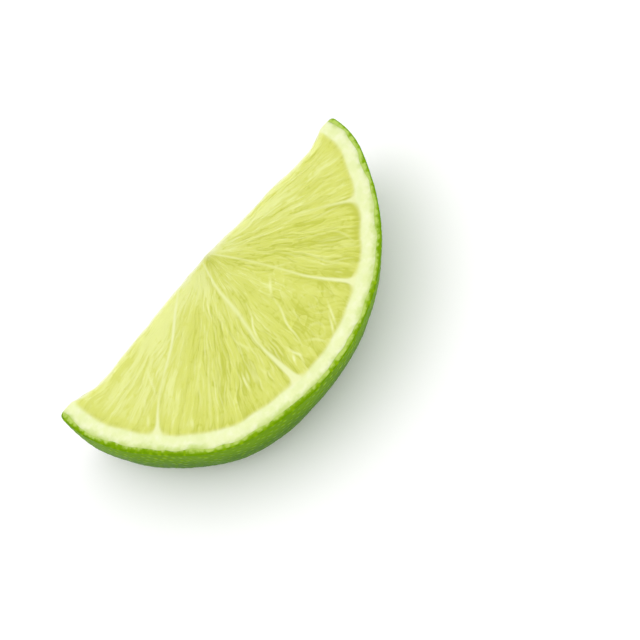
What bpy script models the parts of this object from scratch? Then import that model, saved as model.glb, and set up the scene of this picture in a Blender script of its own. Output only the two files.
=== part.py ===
# A thick half slice of lime, cut across the fruit and then halved through its core.
# It lies on its back face. +Z points out of the shown cut face, and the straight
# edge runs along X, with the curved rind towards -Y. The origin is under the
# middle of its box.
# Lengths below are in millimetres, angles in degrees round the core: 0 is the +X
# tip, 90 the middle of the curved rind and 180 the -X tip.

import math

import bmesh
import bpy
from mathutils import Vector

MM = 0.001

# The cut as a whole
SLICE_THICKNESS = 12.0
FACE_RADIUS = 25.0
FACE_OVAL = 0.012            # the face is this share longer along the straight edge

# The rind, as it falls away behind the shown face
RIND_CURVE_RADIUS = 18.0     # of its curve from front to back
RIND_LEAN_MEAN = 0.08        # slope inwards just behind the face
RIND_LEAN_TO_TIP = 0.25      # more of it at the +X tip, and as much less at the -X tip
RIND_LEAN_OVAL = -0.06
RIND_FLAT_DEPTH = 0.10       # the rind is a little flatter over each segment
FRONT_EDGE_ROUNDING = 0.25
BACK_EDGE_ROUNDING = 0.30

# Layers of the peel on the cut face, from outside in
ZEST_THICKNESS = 0.7
PITH_AT_TIPS = 1.9
PITH_IN_MIDDLE = 2.4
PITH_FLARE = 0.75            # how far the pith reaches in at each membrane
PITH_FLARE_WIDTH = 5.0       # in degrees

# The core and the membranes between the segments
CORE_X = 1.9
CORE_RADIUS = 1.2
MEMBRANES = (                # where each one meets the pith, and where it leaves the core
    {"at_pith": 28.7, "at_core": 13.0},
    {"at_pith": 57.4, "at_core": 57.6},
    {"at_pith": 94.5, "at_core": 125.0},
    {"at_pith": 147.0, "at_core": 175.0},
)
STRAIGHT_EDGE_START = 0.0
STRAIGHT_EDGE_END = 180.0

# Height of the shown face
FLESH_RECESS = 0.30
PITH_RISE = 0.12
ZEST_DROP = 0.15
PULP_RIDGE = 0.11            # half the height of the ridges of the juice sacs
PULP_CROWN = 0.16            # how far the middle of a segment swells

# The straight edge isn't quite straight: the soft flesh draws back from the knife
EDGE_DIP_AT_CORE = 0.25
EDGE_DIP_AT_PITH = 1.05
EDGE_DIP_FADE = 4.0          # how far in from the edge the dip is still felt
EDGE_PITH_BLEND = 3.0

# How finely each direction is divided
COLUMNS_PER_SEGMENT = 12
FLESH_RINGS = 10
PEEL_RINGS = (0.12, 0.50, 0.88)      # shares of the way from flesh to zest
DEPTH_STEPS = 10


def smooth(value):
    """Runs from 0 to 1 with level ends as the value does."""
    held = min(max(value, 0.0), 1.0)
    return held * held * (3.0 - 2.0 * held)


def mix(start, end, share):
    return start + (end - start) * share


def column_shares():
    """Where the columns of one segment stand, closer together beside the membranes."""
    shares = []
    for step in range(COLUMNS_PER_SEGMENT):
        even = step / COLUMNS_PER_SEGMENT
        shares.append(even - 0.055 * math.sin(2.0 * math.pi * even))
    return shares


def column_list():
    """Each column of the face: its angle at the pith and at the core, and its place in its segment."""
    starts = [{"at_pith": STRAIGHT_EDGE_START, "at_core": STRAIGHT_EDGE_START}] + list(MEMBRANES)
    ends = list(MEMBRANES) + [{"at_pith": STRAIGHT_EDGE_END, "at_core": STRAIGHT_EDGE_END}]
    columns = []
    for start, end in zip(starts, ends):
        for share in column_shares():
            columns.append({
                "at_pith": mix(start["at_pith"], end["at_pith"], share),
                "at_core": mix(start["at_core"], end["at_core"], share),
                "share": share,
            })
    columns.append({"at_pith": STRAIGHT_EDGE_END, "at_core": STRAIGHT_EDGE_END, "share": 1.0})
    return columns


COLUMNS = column_list()
LAST_COLUMN = len(COLUMNS) - 1


def membrane_nearness(column):
    """1 on a membrane, falling to 0 in the flesh. The straight edge isn't a membrane."""
    share = column["share"]
    on_start_edge = column["at_pith"] < MEMBRANES[0]["at_pith"] and share < 0.5
    on_end_edge = column["at_pith"] > MEMBRANES[-1]["at_pith"] and share > 0.5
    if on_start_edge or on_end_edge:
        return 0.0
    return 1.0 - smooth(min(share, 1.0 - share) / 0.11)


def face_radius(angle):
    """Outer edge of the shown face, from the middle of the straight edge."""
    turn = math.radians(angle)
    return FACE_RADIUS * (1.0 + FACE_OVAL * math.cos(2.0 * turn))


def rind_radius(angle, depth):
    """Outer edge of the slice at a depth behind the shown face."""
    turn = math.radians(angle)
    lean = RIND_LEAN_MEAN + RIND_LEAN_TO_TIP * math.cos(turn) + RIND_LEAN_OVAL * math.cos(2.0 * turn)
    curve = depth * depth / (2.0 * RIND_CURVE_RADIUS)
    flat = RIND_FLAT_DEPTH * math.cos(10.0 * turn) * depth / SLICE_THICKNESS
    radius = face_radius(angle) - lean * depth - curve + flat
    if depth <= 0.0:
        radius -= FRONT_EDGE_ROUNDING
    if depth >= SLICE_THICKNESS:
        radius -= BACK_EDGE_ROUNDING
    return radius


def pith_thickness(angle):
    """Pith from flesh to zest: thinnest at the tips, and thicker where a membrane joins it."""
    turn = math.radians(angle)
    thickness = mix(PITH_AT_TIPS, PITH_IN_MIDDLE, math.sin(turn))
    for membrane in MEMBRANES:
        away = (angle - membrane["at_pith"]) / PITH_FLARE_WIDTH
        thickness += PITH_FLARE * math.exp(-away * away)
    return thickness


def ring_list():
    """Rings of the face from the core to the rind: which layer each is in, and its share of it."""
    rings = [{"layer": "core", "share": 0.0}, {"layer": "core", "share": 1.0}]
    for step in range(1, FLESH_RINGS + 1):
        rings.append({"layer": "flesh", "share": step / FLESH_RINGS})
    for share in PEEL_RINGS:
        rings.append({"layer": "pith", "share": share})
    rings.append({"layer": "zest", "share": 0.0})
    rings.append({"layer": "zest", "share": 1.0})
    return rings


RINGS = ring_list()
LAST_RING = len(RINGS) - 1


def on_outline(column, depth):
    """Point of the rind for a column, seen from the front, and its distance from the core."""
    angle = column["at_pith"]
    radius = rind_radius(angle, depth)
    turn = math.radians(angle)
    x = radius * math.cos(turn)
    y = -radius * math.sin(turn)
    return x, y, math.hypot(x - CORE_X, y)


def distance_from_core(column, ring, reach):
    """Distance of a ring from the core, along a column that reaches the rind at reach."""
    flesh_end = reach - ZEST_THICKNESS - pith_thickness(column["at_pith"])
    if ring["layer"] == "core":
        return CORE_RADIUS * ring["share"]
    if ring["layer"] == "flesh":
        return mix(CORE_RADIUS, flesh_end, ring["share"])
    if ring["layer"] == "pith":
        return mix(flesh_end, reach - ZEST_THICKNESS, ring["share"])
    return reach - ZEST_THICKNESS * (1.0 - ring["share"])


def edge_dip(x, depth):
    """How far the straight edge draws back at x, behind the shown face by depth."""
    tip_angle = STRAIGHT_EDGE_START if x > CORE_X else STRAIGHT_EDGE_END
    flesh_end = rind_radius(tip_angle, depth) - ZEST_THICKNESS - PITH_AT_TIPS
    core_to_flesh_end = abs(math.copysign(flesh_end, x - CORE_X) - CORE_X)
    along = abs(x - CORE_X) / core_to_flesh_end
    dip = mix(EDGE_DIP_AT_CORE, EDGE_DIP_AT_PITH, smooth(along))
    past_flesh = 1.0 + (abs(x) - flesh_end) / EDGE_PITH_BLEND
    return dip * (1.0 - smooth(past_flesh))


def face_height(column_number, ring_number):
    """Height of the shown face over its mean plane."""
    column = COLUMNS[column_number]
    ring = RINGS[ring_number]
    if ring["layer"] == "core":
        return -0.5 * FLESH_RECESS * ring["share"]
    if ring["layer"] == "pith":
        return PITH_RISE * math.sin(math.pi * ring["share"])
    if ring["layer"] == "zest":
        return -ZEST_DROP * ring["share"]
    near = membrane_nearness(column)
    share = ring["share"]
    crown = PULP_CROWN * math.sin(math.pi * share) * math.sin(math.pi * column["share"])
    ridge = PULP_RIDGE * math.sin(2.5 * column_number + 0.9 * ring_number) * math.sin(math.pi * share)
    flesh = -FLESH_RECESS + crown + ridge
    meets_pith = smooth((share - 0.9) / 0.1)
    return mix(mix(flesh, 0.0, near), -0.5 * FLESH_RECESS, meets_pith * (1.0 - near))


def place(column_number, ring_number, depth_number):
    """A point of the slice, in metres, by its column, its ring and its depth."""
    column = COLUMNS[column_number]
    ring = RINGS[ring_number]
    depth = SLICE_THICKNESS * depth_number / DEPTH_STEPS
    rim_x, rim_y, reach = on_outline(column, depth)
    if ring["layer"] == "zest" and ring["share"] == 1.0:
        x, y = rim_x, rim_y
    else:
        away = distance_from_core(column, ring, reach)
        at_rind = math.degrees(math.atan2(-rim_y, rim_x - CORE_X))
        turned = smooth(away / reach)
        angle = math.radians(mix(column["at_core"], at_rind, turned))
        x = CORE_X + away * math.cos(angle)
        y = -away * math.sin(angle)
    y -= edge_dip(x, depth) * math.exp(y / EDGE_DIP_FADE)
    z = SLICE_THICKNESS - depth
    if depth_number == 0:
        z += face_height(column_number, ring_number)
    return Vector((x, y, z)) * MM


def make_material(name, colour, roughness):
    material = bpy.data.materials.new(name)
    material.use_nodes = True
    shader = material.node_tree.nodes["Principled BSDF"]
    shader.inputs["Base Color"].default_value = (*colour, 1.0)
    shader.inputs["Roughness"].default_value = roughness
    shader.inputs["Metallic"].default_value = 0.0
    material.diffuse_color = (*colour, 1.0)
    return material


class SliceMesh:
    """Collects the points and faces of the slice. Each point is made once and then shared."""

    def __init__(self):
        self.bm = bmesh.new()
        self.points = {}

    def point(self, column, ring, depth):
        """The core is one line, so all the columns share their points there."""
        key = (0 if ring == 0 else column, ring, depth)
        if key not in self.points:
            self.points[key] = self.bm.verts.new(place(*key))
        return self.points[key]

    def patch(self, corners, material):
        """One face. Corners that coincide at the core are given once."""
        found = []
        for corner in corners:
            vertex = self.point(*corner)
            if vertex not in found:
                found.append(vertex)
        face = self.bm.faces.new(found)
        face.material_index = material


RIND, PITH, FLESH = 0, 1, 2


def layer_material(ring_number):
    """Finish of the band between a ring and the next one out."""
    if RINGS[ring_number + 1]["layer"] == "zest" and RINGS[ring_number]["layer"] == "zest":
        return RIND
    if RINGS[ring_number + 1]["layer"] in ("pith", "zest"):
        return PITH
    return FLESH


def add_shown_face(mesh):
    for column in range(LAST_COLUMN):
        for ring in range(LAST_RING):
            corners = [
                (column, ring, 0),
                (column + 1, ring, 0),
                (column + 1, ring + 1, 0),
                (column, ring + 1, 0),
            ]
            mesh.patch(corners, layer_material(ring))


def add_rind(mesh):
    for column in range(LAST_COLUMN):
        for depth in range(DEPTH_STEPS):
            corners = [
                (column, LAST_RING, depth),
                (column + 1, LAST_RING, depth),
                (column + 1, LAST_RING, depth + 1),
                (column, LAST_RING, depth + 1),
            ]
            mesh.patch(corners, RIND)


def add_straight_face(mesh):
    """The cut along the core, on both sides of it."""
    for column in (0, LAST_COLUMN):
        for ring in range(LAST_RING):
            for depth in range(DEPTH_STEPS):
                corners = [
                    (column, ring, depth),
                    (column, ring + 1, depth),
                    (column, ring + 1, depth + 1),
                    (column, ring, depth + 1),
                ]
                mesh.patch(corners, layer_material(ring))


def add_back_face(mesh):
    """The flat face that the slice rests on, as one polygon round its outline."""
    outline = [(0, ring, DEPTH_STEPS) for ring in range(LAST_RING)]
    outline += [(column, LAST_RING, DEPTH_STEPS) for column in range(LAST_COLUMN)]
    outline += [(LAST_COLUMN, ring, DEPTH_STEPS) for ring in range(LAST_RING, 0, -1)]
    mesh.patch(outline, FLESH)


def centre_on_base(bm):
    """Moves the slice sideways, so that the middle of its box stands over the origin."""
    xs = [vertex.co.x for vertex in bm.verts]
    ys = [vertex.co.y for vertex in bm.verts]
    middle = Vector(((min(xs) + max(xs)) / 2.0, (min(ys) + max(ys)) / 2.0, 0.0))
    bmesh.ops.translate(bm, vec=-middle, verts=list(bm.verts))


def build_half_slice():
    mesh = SliceMesh()
    add_shown_face(mesh)
    add_rind(mesh)
    add_straight_face(mesh)
    add_back_face(mesh)
    bmesh.ops.triangulate(mesh.bm, faces=list(mesh.bm.faces))
    bmesh.ops.recalc_face_normals(mesh.bm, faces=list(mesh.bm.faces))
    centre_on_base(mesh.bm)

    data = bpy.data.meshes.new("half_slice")
    mesh.bm.to_mesh(data)
    mesh.bm.free()
    data.materials.append(make_material("lime_rind", (0.10, 0.26, 0.03), 0.38))
    data.materials.append(make_material("lime_pith", (0.80, 0.90, 0.52), 0.60))
    data.materials.append(make_material("lime_flesh", (0.62, 0.72, 0.16), 0.30))
    data.shade_smooth()
    data.set_sharp_from_angle(angle=math.radians(40.0))
    half_slice = bpy.data.objects.new("half_slice", data)
    bpy.context.scene.collection.objects.link(half_slice)
    return half_slice


def clear_scene():
    for old in list(bpy.data.objects):
        bpy.data.objects.remove(old, do_unlink=True)


clear_scene()
build_half_slice()
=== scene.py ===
import math

import bmesh
import bpy
import numpy as np
from mathutils import Matrix, Vector


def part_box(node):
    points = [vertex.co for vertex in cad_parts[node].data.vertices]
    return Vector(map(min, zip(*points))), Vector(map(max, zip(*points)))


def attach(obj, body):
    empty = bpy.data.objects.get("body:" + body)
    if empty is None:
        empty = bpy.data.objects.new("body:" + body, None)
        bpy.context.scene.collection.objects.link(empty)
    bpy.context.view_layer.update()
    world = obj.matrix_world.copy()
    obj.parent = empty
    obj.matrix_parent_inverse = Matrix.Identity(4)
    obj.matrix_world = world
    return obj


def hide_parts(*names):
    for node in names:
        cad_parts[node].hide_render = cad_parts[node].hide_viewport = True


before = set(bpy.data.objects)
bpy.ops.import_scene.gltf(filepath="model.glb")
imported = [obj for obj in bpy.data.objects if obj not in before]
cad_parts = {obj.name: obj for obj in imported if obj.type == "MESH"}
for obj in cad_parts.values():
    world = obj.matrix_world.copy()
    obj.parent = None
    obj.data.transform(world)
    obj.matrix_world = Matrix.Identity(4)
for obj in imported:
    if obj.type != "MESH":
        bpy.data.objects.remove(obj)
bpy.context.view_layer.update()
print("frame loaded")

# Lengths are in millimetres until makeMesh turns them into metres.
# The cut face is laid out from the middle of its straight edge: x runs along the
# edge, the curved rind is towards -y. Turns go round that middle, from the +x tip
# at 0 to the -x tip at half a turn, and depth is measured back from the cut face.
mm = 0.001
halfTurn = math.pi

cut = {
    "faceRadius": 25.0,
    "faceOval": 0.012,
    "rindCurve": 18.0,      # radius of the rind's curve from front to back
    "leanMean": 0.08,       # the rind's slope inwards behind the face
    "leanToTip": 0.25,
    "leanOval": -0.06,
    "flatDepth": 0.10,
    "tipRounding": 0.25,    # the CAD edge is rounded off by this much
    "pithCrest": 0.12,      # the CAD pith stands this far above the cut face
    "zest": 0.70,           # green layer on the cut
    "zestWander": 0.10,     # how much its thickness varies, as a share
    "coreX": 1.9,
    "dipAtCore": 0.20,      # how far the straight edge draws back
    "dipAtPith": (1.16, 1.32),      # towards the +x and the -x tip
    "dipAtTip": 0.22,
    "dipEnd": (1.3, 1.8),
    "dipFade": 4.0,
    "dipBlend": 4.0,
    "dipPith": 1.9,         # pith at the tips, where the edge draws back less
    "dipSway": 0.025,
}

pointsAtOnce = 5000         # so that the distances to every seed fit in memory
shadeLimit = 6.0            # distances past this look the same
noiseSeeds = {"shown": 100, "back": 300, "straight": 500, "dip": 77, "zest": 11, "pith": 5, "skin": 31}


def smooth(value):
    held = np.clip(value, 0.0, 1.0)
    return held * held * (3.0 - 2.0 * held)


def mix(start, end, share):
    return start + (end - start) * share


def softMin(first, second, reach):
    # the smaller of two distances, rounded where they are alike
    near = np.clip(0.5 + 0.5 * (second - first) / reach, 0.0, 1.0)
    return mix(second, first, near) - reach * near * (1.0 - near)


def partByPart(count):
    # slices of a long row of points
    return [slice(start, start + pointsAtOnce) for start in range(0, count, pointsAtOnce)]


def ripple(x, y, size, seed, waves=16):
    # smooth uneven field: plane waves in random directions, about -2 to 2
    draw = np.random.default_rng(seed)
    total = np.zeros(np.shape(x))
    for _ in range(waves):
        heading, phase = draw.uniform(0.0, 2.0 * math.pi, 2)
        length = size * draw.uniform(0.65, 1.6)
        along = x * math.cos(heading) + y * math.sin(heading)
        total += np.sin(2.0 * math.pi * along / length + phase)
    return total / math.sqrt(waves / 2.0)


# Where the slice isn't quite round: degrees round it, and how far it stands out there
unevenOutline = {
    "turn": (0, 3, 7, 11, 15, 19, 24, 32, 40, 52, 100, 108,
             113, 118, 124, 130, 136, 142, 148, 153, 160, 169, 175, 180),
    "shift": (0.10, 0.28, 0.46, 0.46, 0.32, 0.12, -0.04, -0.10, -0.14, 0.00, 0.00, 0.08,
              0.16, 0.28, 0.30, 0.12, -0.12, -0.34, -0.34, -0.14, -0.06, 0.14, 0.06, 0.00),
}


def rindRadius(turn, depth):
    lean = cut["leanMean"] + cut["leanToTip"] * np.cos(turn) + cut["leanOval"] * np.cos(2.0 * turn)
    face = cut["faceRadius"] * (1.0 + cut["faceOval"] * np.cos(2.0 * turn))
    face = face + np.interp(turn, np.radians(unevenOutline["turn"]), unevenOutline["shift"])
    flat = cut["flatDepth"] * np.cos(10.0 * turn) * depth / thickness
    return face - lean * depth - depth ** 2 / (2.0 * cut["rindCurve"]) + flat


lowCorner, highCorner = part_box("half_slice")
thickness = (highCorner.z - lowCorner.z) / mm - cut["pithCrest"]
tipReach = cut["faceRadius"] * (1.0 + cut["faceOval"]) - cut["tipRounding"]
edgeMiddle = Vector((highCorner.x - tipReach * mm, highCorner.y, lowCorner.z))


def zestInset(turn, depth):
    # the border between zest and pith wanders a little
    uneven = ripple(turn * cut["faceRadius"], depth, 2.6, noiseSeeds["zest"])
    return cut["zest"] * (1.0 + cut["zestWander"] * uneven)


# Degrees round the slice, and by how much the green draws back towards the rind there
paleZest = {
    "turn": (0.0, 12.0, 24.0, 40.0, 60.0, 80.0, 92.0, 102.0, 120.0, 136.0, 150.0, 165.0, 180.0),
    "shift": (0.30, 0.30, 0.26, 0.04, 0.06, 0.34, 0.02, -0.08, 0.24, -0.04, -0.06, 0.10, 0.22),
}


def greenShift(turn):
    return np.interp(turn, np.radians(paleZest["turn"]), paleZest["shift"])


# Small hollows and swellings in the straight edge: place along it, width, depth
hollows = [
    (8.0, 2.4, 0.18),
    (-9.5, 1.2, 0.14),
    (-17.0, 1.8, 0.12),
    (13.7, 1.1, -0.12),
    (1.8, 1.2, -0.08),
]


def edgeDip(x, tipRight, tipLeft):
    # how far the soft flesh draws back along the straight edge
    tip = np.where(x > cut["coreX"], tipRight, tipLeft)
    fleshEnd = tip - cut["zest"] - cut["dipPith"]
    span = np.where(x > cut["coreX"], fleshEnd - cut["coreX"], fleshEnd + cut["coreX"])
    deepest = np.where(x > cut["coreX"], *cut["dipAtPith"])
    dip = mix(cut["dipAtCore"], deepest, smooth(np.abs(x - cut["coreX"]) / span))
    for place, width, depth in hollows:
        dip = dip + depth * np.exp(-((x - place) / width) ** 2)
    shallow = np.abs(x) - fleshEnd + np.where(x > cut["coreX"], *cut["dipEnd"])
    return mix(dip, cut["dipAtTip"], smooth(0.5 + shallow / cut["dipBlend"]))


def makeMesh(name, points, faces, shades):
    # points in millimetres on the cut's own axes; shades are named values for each point
    placed = np.array(points, float) * mm + np.array(edgeMiddle)
    mesh = bpy.data.meshes.new(name)
    mesh.from_pydata(placed.tolist(), [], faces)
    for title, values in shades.items():
        values = np.array(values, float)
        kind = "FLOAT_VECTOR" if values.ndim == 2 else "FLOAT"
        layer = mesh.attributes.new(title, kind, "POINT")
        layer.data.foreach_set("vector" if values.ndim == 2 else "value", values.ravel())
    working = bmesh.new()
    working.from_mesh(mesh)
    bmesh.ops.recalc_face_normals(working, faces=working.faces)
    working.to_mesh(mesh)
    working.free()
    mesh.shade_smooth()
    mesh.set_sharp_from_angle(angle=math.radians(50.0))
    piece = bpy.data.objects.new(name, mesh)
    bpy.context.scene.collection.objects.link(piece)
    triangles = sum(len(face) - 2 for face in faces)
    print(name, "has", triangles, "triangles")
    return piece


def gridFaces(ids):
    # quads over a table of point numbers; corners that coincide make triangles
    faces = []
    for row, nextRow in zip(ids[:-1], ids[1:]):
        for a, b, c, d in zip(row[:-1], row[1:], nextRow[1:], nextRow[:-1]):
            corners = [int(a)]
            for corner in (b, c, d):
                if int(corner) not in corners:
                    corners.append(int(corner))
            faces.append(corners)
    return faces


def stitch(rowA, rowB):
    # triangles between two rows with different numbers of points, which may share their ends
    faces = []
    a = b = 0
    lastA, lastB = len(rowA) - 1, len(rowB) - 1
    while a < lastA or b < lastB:
        if b == lastB or (a < lastA and (a + 1) * lastB <= (b + 1) * lastA):
            faces.append([int(rowA[a]), int(rowA[a + 1]), int(rowB[b])])
            a += 1
        else:
            faces.append([int(rowA[a]), int(rowB[b + 1]), int(rowB[b])])
            b += 1
    return [face for face in faces if len(set(face)) == 3]


class PointList:
    # gathers blocks of points and their shades, and numbers them
    def __init__(self):
        self.blocks, self.shades, self.count = [], [], 0

    def add(self, points, shades):
        points = np.reshape(points, (-1, 3))
        self.blocks.append(points)
        self.shades.append({k: np.reshape(v, (len(points), -1)) for k, v in shades.items()})
        ids = np.arange(self.count, self.count + len(points))
        self.count += len(points)
        return ids

    def allPoints(self):
        return np.concatenate(self.blocks)

    def allShades(self):
        found = {}
        for title in self.shades[0]:
            values = np.concatenate([block[title] for block in self.shades])
            found[title] = values[:, 0] if values.shape[1] == 1 else values
        return found


# Camera, at the photograph's viewing angle: the slice lies flat, so the camera
# looks down on it, and it is rolled so that the straight edge runs up to the right.
view = {
    "lens": 135.0,
    "sensor": 36.0,
    "frameWidth": 640.0,
    "distance": 300.8,
    "elevation": 60.93,
    "roll": 47.67,
    "edgeMiddlePixel": (194.3, 265.3),
}


def addCamera():
    focal = view["frameWidth"] * view["lens"] / view["sensor"]
    elevation, roll = math.radians(view["elevation"]), math.radians(view["roll"])
    forward = Vector((0.0, math.cos(elevation), -math.sin(elevation)))
    level = Vector((1.0, 0.0, 0.0))
    upright = Vector((0.0, math.sin(elevation), math.cos(elevation)))
    right = level * math.cos(roll) - upright * math.sin(roll)
    up = level * math.sin(roll) + upright * math.cos(roll)
    half = view["frameWidth"] / 2.0
    acrossPixels = view["edgeMiddlePixel"][0] - half
    downPixels = view["edgeMiddlePixel"][1] - half
    scale = view["distance"] / focal
    aim = Vector((0.0, 0.0, thickness)) - right * acrossPixels * scale + up * downPixels * scale
    place = aim - forward * view["distance"]
    data = bpy.data.cameras.new("camera")
    data.lens, data.sensor_width = view["lens"], view["sensor"]
    data.clip_start, data.clip_end = 0.01, 10.0
    camera = bpy.data.objects.new("camera", data)
    bpy.context.scene.collection.objects.link(camera)
    axes = Matrix((right, up, -forward)).transposed().to_4x4()
    camera.matrix_world = Matrix.Translation(edgeMiddle + place * mm) @ axes
    bpy.context.scene.camera = camera


addCamera()
print("camera placed")


# Membranes between the segments, as they show on the cut face: points from the core
# to the pith, half their width there, and how white they are there.
membranes = {
    "upper": {
        "way": [(2.6, -0.3), (5.0, -0.7), (7.2, -1.5), (9.8, -3.1), (12.6, -5.3), (15.9, -7.8),
                (19.6, -10.8)],
        "half": (0.02, 0.03, 0.05, 0.06, 0.07, 0.10, 0.22),
        "white": (0.05, 0.08, 0.12, 0.15, 0.25, 0.50, 0.90),
    },
    "middle": {
        "way": [(2.4, -0.4), (3.3, -2.0), (4.5, -4.3), (5.8, -7.0), (7.2, -10.2), (8.8, -13.7),
                (11.9, -18.6)],
        "half": (0.05, 0.06, 0.07, 0.07, 0.08, 0.13, 0.30),
        "white": (0.90, 0.85, 0.70, 0.60, 0.65, 0.85, 1.00),
    },
    "lower": {
        "way": [(1.0, -0.4), (0.3, -2.8), (-0.3, -5.6), (-0.6, -8.8), (-1.2, -12.0), (-1.7, -14.8),
                (-1.7, -21.6)],
        "half": (0.06, 0.09, 0.17, 0.28, 0.21, 0.13, 0.45),
        "white": (0.95, 0.90, 0.74, 0.64, 0.62, 0.75, 1.00),
    },
    "left": {
        "way": [(-3.4, -0.2), (-5.8, -2.2), (-8.6, -4.7), (-10.6, -6.1), (-13.0, -7.6), (-15.0, -9.1),
                (-16.5, -10.5), (-17.6, -11.7), (-19.5, -13.5)],
        "half": (0.08, 0.16, 0.18, 0.16, 0.11, 0.11, 0.17, 0.24, 0.38),
        "white": (0.75, 0.95, 0.92, 0.80, 0.64, 0.70, 0.90, 0.95, 1.00),
    },
}

# Smaller walls and cracks that show inside the segments, and painted highlights on the wet cut (the
# glints), whose whitest parts also take the painted glint colour: half their width, how white they
# are, and their points
splits = {
    "lowerBranch": (0.06, 0.75, [(0.7, -10.0), (0.2, -11.2), (-0.6, -12.4), (-1.2, -13.7), (-1.6, -15.2)]),
    "leftBranch": (0.06, 0.70, [(-13.4, -4.8), (-14.0, -5.9), (-14.6, -7.5), (-15.6, -9.4)]),
    "leftGlint": (0.09, 0.60, [(-16.1, -7.3), (-16.7, -8.0), (-17.5, -8.7)]),
    "leftGlintLow": (0.09, 0.60, [(-17.3, -9.3), (-17.9, -10.1), (-18.5, -10.8)]),
    "lowGlint": (0.10, 0.65, [(-13.9, -14.5), (-14.3, -15.1), (-14.7, -15.7)]),
    "dots": (0.08, 0.72, [(5.4, -9.2), (4.9, -9.8), (4.3, -10.5), (3.8, -11.2)]),
    "longCrack": (0.05, 0.70, [(3.8, -11.2), (3.3, -13.3), (2.5, -15.5), (2.3, -17.6), (1.8, -19.2)]),
    "lowCorner": (0.10, 0.78, [(0.2, -17.2), (0.5, -18.8), (0.8, -19.8), (0.3, -21.2)]),
    "lowCornerInner": (0.09, 0.80, [(0.3, -18.8), (0.0, -19.5), (-0.4, -20.4)]),
    "rimCrack": (0.06, 0.75, [(7.9, -17.4), (7.3, -18.8), (6.9, -19.7), (6.3, -20.9)]),
    "rimCrackInner": (0.05, 0.75, [(6.9, -18.8), (6.3, -19.9), (5.8, -20.7), (5.3, -21.4)]),
    "cellTop": (0.07, 0.34, [(3.8, -18.4), (4.4, -18.2), (5.1, -18.7), (5.3, -19.5), (4.9, -20.3)]),
    "cellLow": (0.05, 0.22, [(4.8, -20.4), (4.2, -20.3), (3.8, -19.6), (3.9, -18.7)]),
    "rimArc": (0.06, 0.50, [(2.5, -18.9), (3.3, -19.7), (3.8, -20.5), (4.1, -21.4)]),
    "starLine": (0.05, 0.50, [(9.3, -8.9), (10.3, -10.6), (10.9, -11.9), (11.4, -13.3), (12.2, -15.0),
                              (13.0, -16.5)]),
    "sacLine": (0.05, 0.45, [(-6.0, -9.0), (-7.4, -10.8), (-8.8, -12.3), (-10.6, -14.4), (-12.2, -16.3),
                             (-13.1, -17.4)]),
    "glint": (0.07, 0.75, [(-5.6, -15.4), (-6.1, -16.6), (-6.5, -18.2)]),
    "secondGlint": (0.05, 0.65, [(-5.1, -15.7), (-5.5, -16.5), (-5.8, -17.2)]),
    "sideGlint": (0.06, 0.50, [(-3.0, -10.0), (-3.3, -11.8), (-3.0, -13.5), (-2.3, -15.0)]),
    "cornerLine": (0.05, 0.35, [(13.9, -10.2), (15.2, -12.4), (15.4, -14.6)]),
}


stepsPerPoint = 12          # how finely a drawn line is followed


def lineDistance(x, y, way, half, white):
    # distance from a smooth line through the points of way, less its half width,
    # and the line's whiteness at the nearest spot
    way = np.array(way, float)
    knots = np.linspace(0.0, 1.0, len(way))
    fine = np.linspace(0.0, 1.0, stepsPerPoint * len(way))
    lineX, lineY = smoothLine(knots, way[:, 0], fine), smoothLine(knots, way[:, 1], fine)
    widths = np.interp(fine, np.linspace(0.0, 1.0, len(half)), half)
    whites = np.interp(fine, np.linspace(0.0, 1.0, len(white)), white)
    best = np.full(np.shape(x), math.inf)
    shown = np.zeros(np.shape(x))
    for k in range(len(fine) - 1):
        stepX, stepY = lineX[k + 1] - lineX[k], lineY[k + 1] - lineY[k]
        along = ((x - lineX[k]) * stepX + (y - lineY[k]) * stepY) / (stepX ** 2 + stepY ** 2 + 1e-12)
        along = np.clip(along, 0.0, 1.0)
        away = np.hypot(x - lineX[k] - along * stepX, y - lineY[k] - along * stepY)
        away = away - mix(widths[k], widths[k + 1], along)
        shown = np.where(away < best, mix(whites[k], whites[k + 1], along), shown)
        best = np.minimum(best, away)
    return best, shown


def smoothLine(knots, values, fine):
    # a curve through the values, without corners
    slopes = np.gradient(values, knots)
    slot = np.clip(np.searchsorted(knots, fine, side="right") - 1, 0, len(knots) - 2)
    width = knots[slot + 1] - knots[slot]
    share = (fine - knots[slot]) / width
    rise = values[slot + 1] - values[slot]
    bend = slopes[slot] * width - rise
    bendEnd = -slopes[slot + 1] * width + rise
    return mix(values[slot], values[slot + 1], share) + share * (1.0 - share) * mix(bend, bendEnd, share)


# Juice sacs: long drops that point at the core, each a seed with its own direction,
# length, width and tone
sacs = {
    "length": 7.0,
    "width": 0.62,
    "lean": 0.07,           # how far they turn from the ray, in radians
    "wallShare": 0.30,
    "blend": 0.12,
    "wave": 0.13,           # how much the field of sacs is bent, and how much finely
    "waveFine": 0.03,
    "innerRing": 1.2,       # radius of the first ring of sacs round the core
    "fullSizeAt": 12.0,     # nearer the core they are shorter and thinner
    "shareAtCore": (0.35, 0.60),    # of their length and width there
    "stray": 0.35,          # how far they leave their places, in widths
    "sizeRange": (0.7, 1.35),
    "outerTaper": 0.28,     # fuller at the outer end
    "reach": 24.0,
    "seed": 3,
}

# Between the middle and lower membranes the sacs are short and lie every way
tangled = {
    "from": 1.00,
    "to": 1.58,
    "start": 7.0,
    "length": 2.6,
    "width": 1.0,
    "lean": 0.55,
    "missing": 0.45,        # share of the places that stay without a sac
    "swirl": 0.32,
    "blend": 0.15,
    "blendOut": 3.0,
}
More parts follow.
